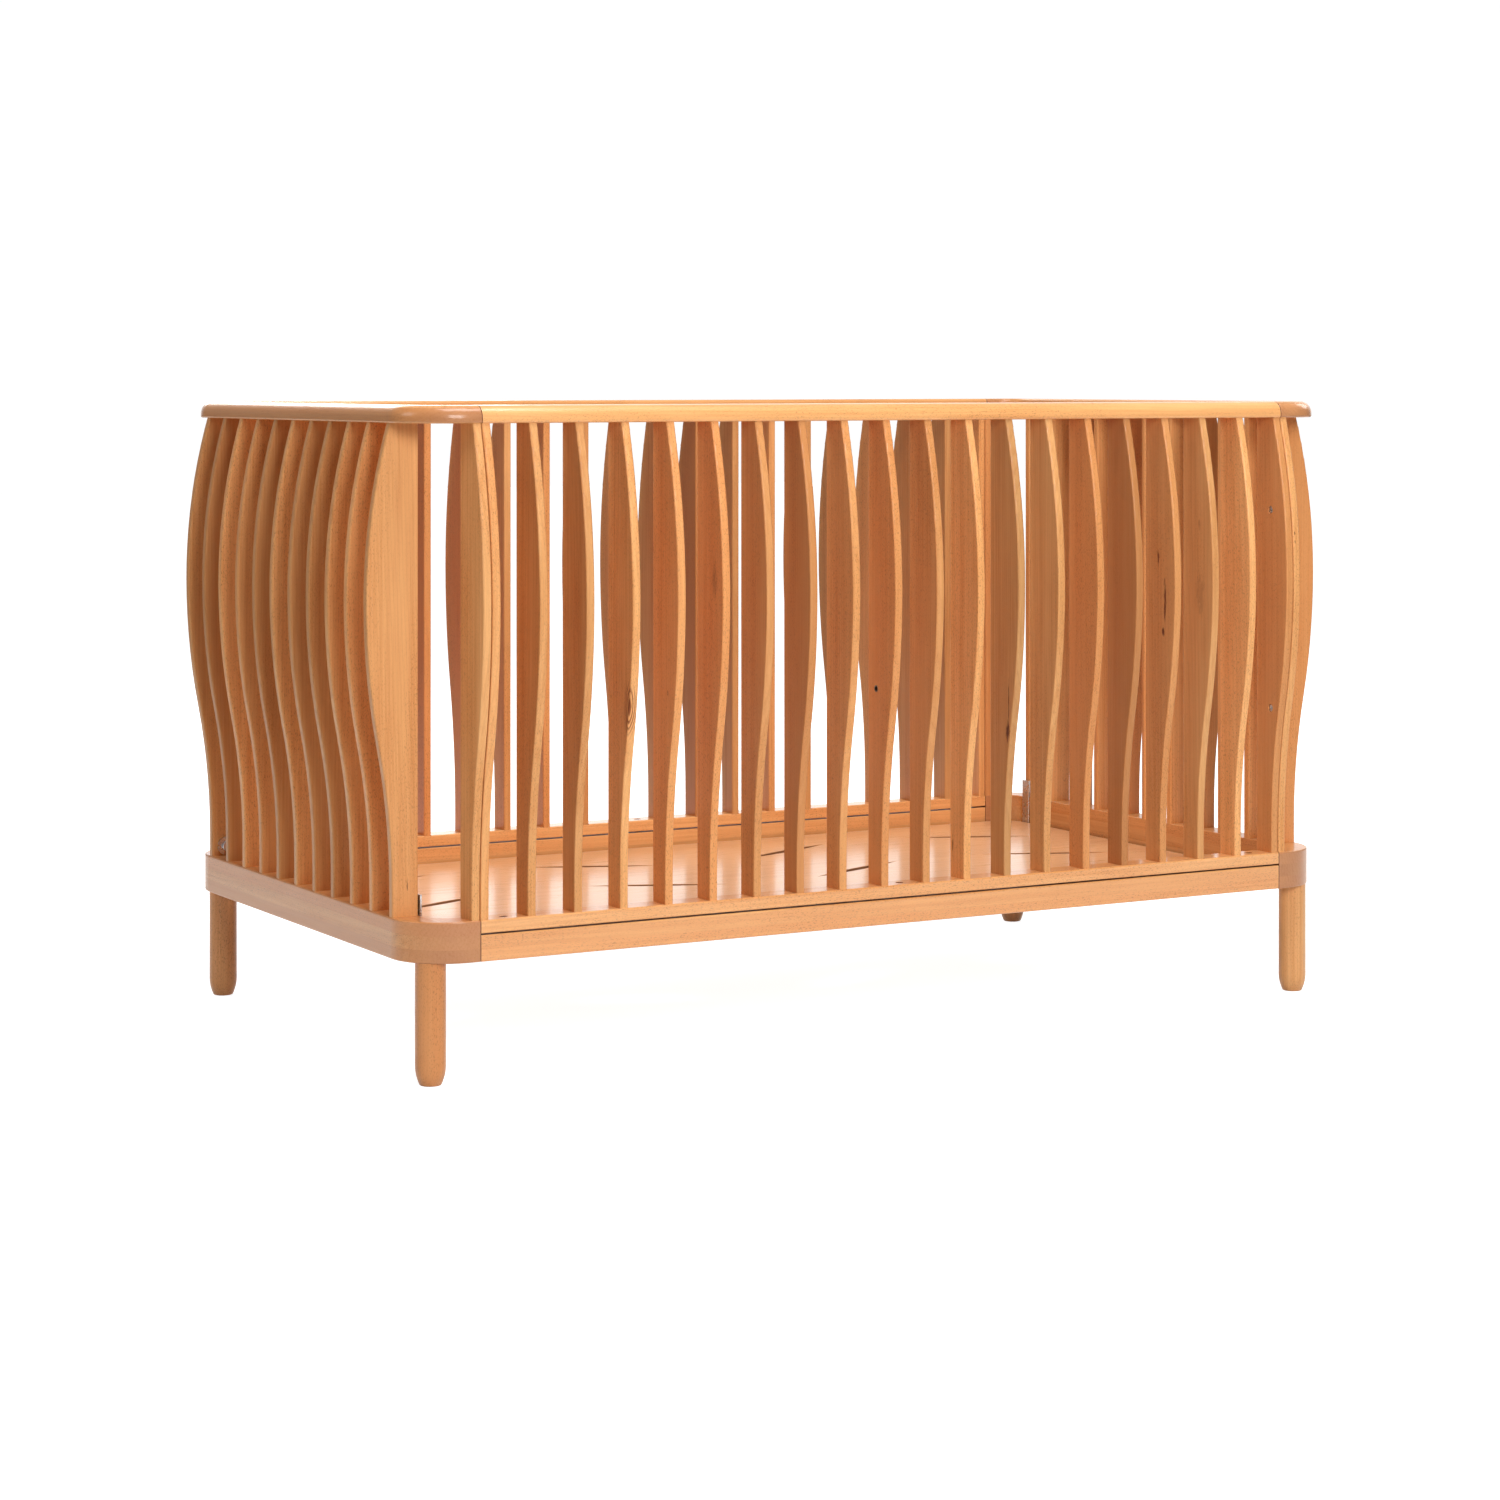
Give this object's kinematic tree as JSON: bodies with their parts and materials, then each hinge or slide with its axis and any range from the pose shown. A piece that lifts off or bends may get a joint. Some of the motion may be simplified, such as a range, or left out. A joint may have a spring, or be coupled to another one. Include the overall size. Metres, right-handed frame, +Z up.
{
  "type": "baby crib",
  "caption": "Free-standing wooden baby crib with S-curved flat slats on all sides, round legs and a height-adjustable slotted mattress board.",
  "frame": {"origin": "on the floor, under the middle of the crib", "axes": "+X along the crib's length, +Y to the back, +Z up"},
  "size_m": [1.445, 0.835, 0.82],
  "materials": {
    "slat_wood": "satin lacquered beech",
    "rail_wood": "satin lacquered beech",
    "end_wood": "satin lacquered beech",
    "leg_wood": "satin lacquered beech",
    "board_wood": "satin lacquered beech",
    "plain_wood": "satin lacquered beech",
    "hanger_steel": "zinc plated",
    "bolt_steel": "zinc plated",
    "insert_steel": "yellow zinc plated"
  },
  "bodies": {
    "frame": {"back_slats": "slat_wood", "base_dowels": "plain_wood", "base_end_left": "end_wood", "base_end_right": "end_wood", "base_rail_back": "rail_wood", "base_rail_front": "rail_wood", "base_rail_inserts": "insert_steel", "corner_slat_back_left": "slat_wood", "corner_slat_back_right": "slat_wood", "corner_slat_front_left": "slat_wood", "corner_slat_front_right": "slat_wood", "corner_slat_inserts": "insert_steel", "front_slat_01": "slat_wood", "front_slat_02": "slat_wood", "front_slat_03": "slat_wood", "front_slat_04": "slat_wood", "front_slat_05": "slat_wood", "front_slat_06": "slat_wood", "front_slat_07": "slat_wood", "front_slat_08": "slat_wood", "front_slat_09": "slat_wood", "front_slat_10": "slat_wood", "front_slat_11": "slat_wood", "front_slat_12": "slat_wood", "front_slat_13": "slat_wood", "front_slat_14": "slat_wood", "front_slat_15": "slat_wood", "front_slat_16": "slat_wood", "front_slat_17": "slat_wood", "front_slat_18": "slat_wood", "front_slat_19": "slat_wood", "front_slat_20": "slat_wood", "hanger_bolts": "bolt_steel", "height_inserts": "insert_steel", "left_end_slats": "slat_wood", "leg_back_left": "leg_wood", "leg_back_right": "leg_wood", "leg_front_left": "leg_wood", "leg_front_right": "leg_wood", "leg_inserts": "insert_steel", "leg_studs": "bolt_steel", "panel_bottom_rail_back": "rail_wood", "panel_bottom_rail_front": "rail_wood", "panel_down_bolts": "bolt_steel", "panel_end_bolts": "bolt_steel", "panel_top_rail_back": "rail_wood", "panel_top_rail_front": "rail_wood", "right_end_slats": "slat_wood", "top_dowels": "plain_wood", "top_end_left": "end_wood", "top_end_right": "end_wood"},
    "mattress_base": {"batten_screws": "bolt_steel", "board_batten_back": "plain_wood", "board_batten_front": "plain_wood", "hanger_back_left": "hanger_steel", "hanger_back_right": "hanger_steel", "hanger_front_left": "hanger_steel", "hanger_front_right": "hanger_steel", "hanger_screws": "bolt_steel", "mattress_board": "board_wood"}
  },
  "joints": [
    {"name": "mattress_height", "type": "slide", "parent": "frame", "child": "mattress_base", "axis": [0, 0, 1], "range_m": [0, 0.24]}
  ]
}
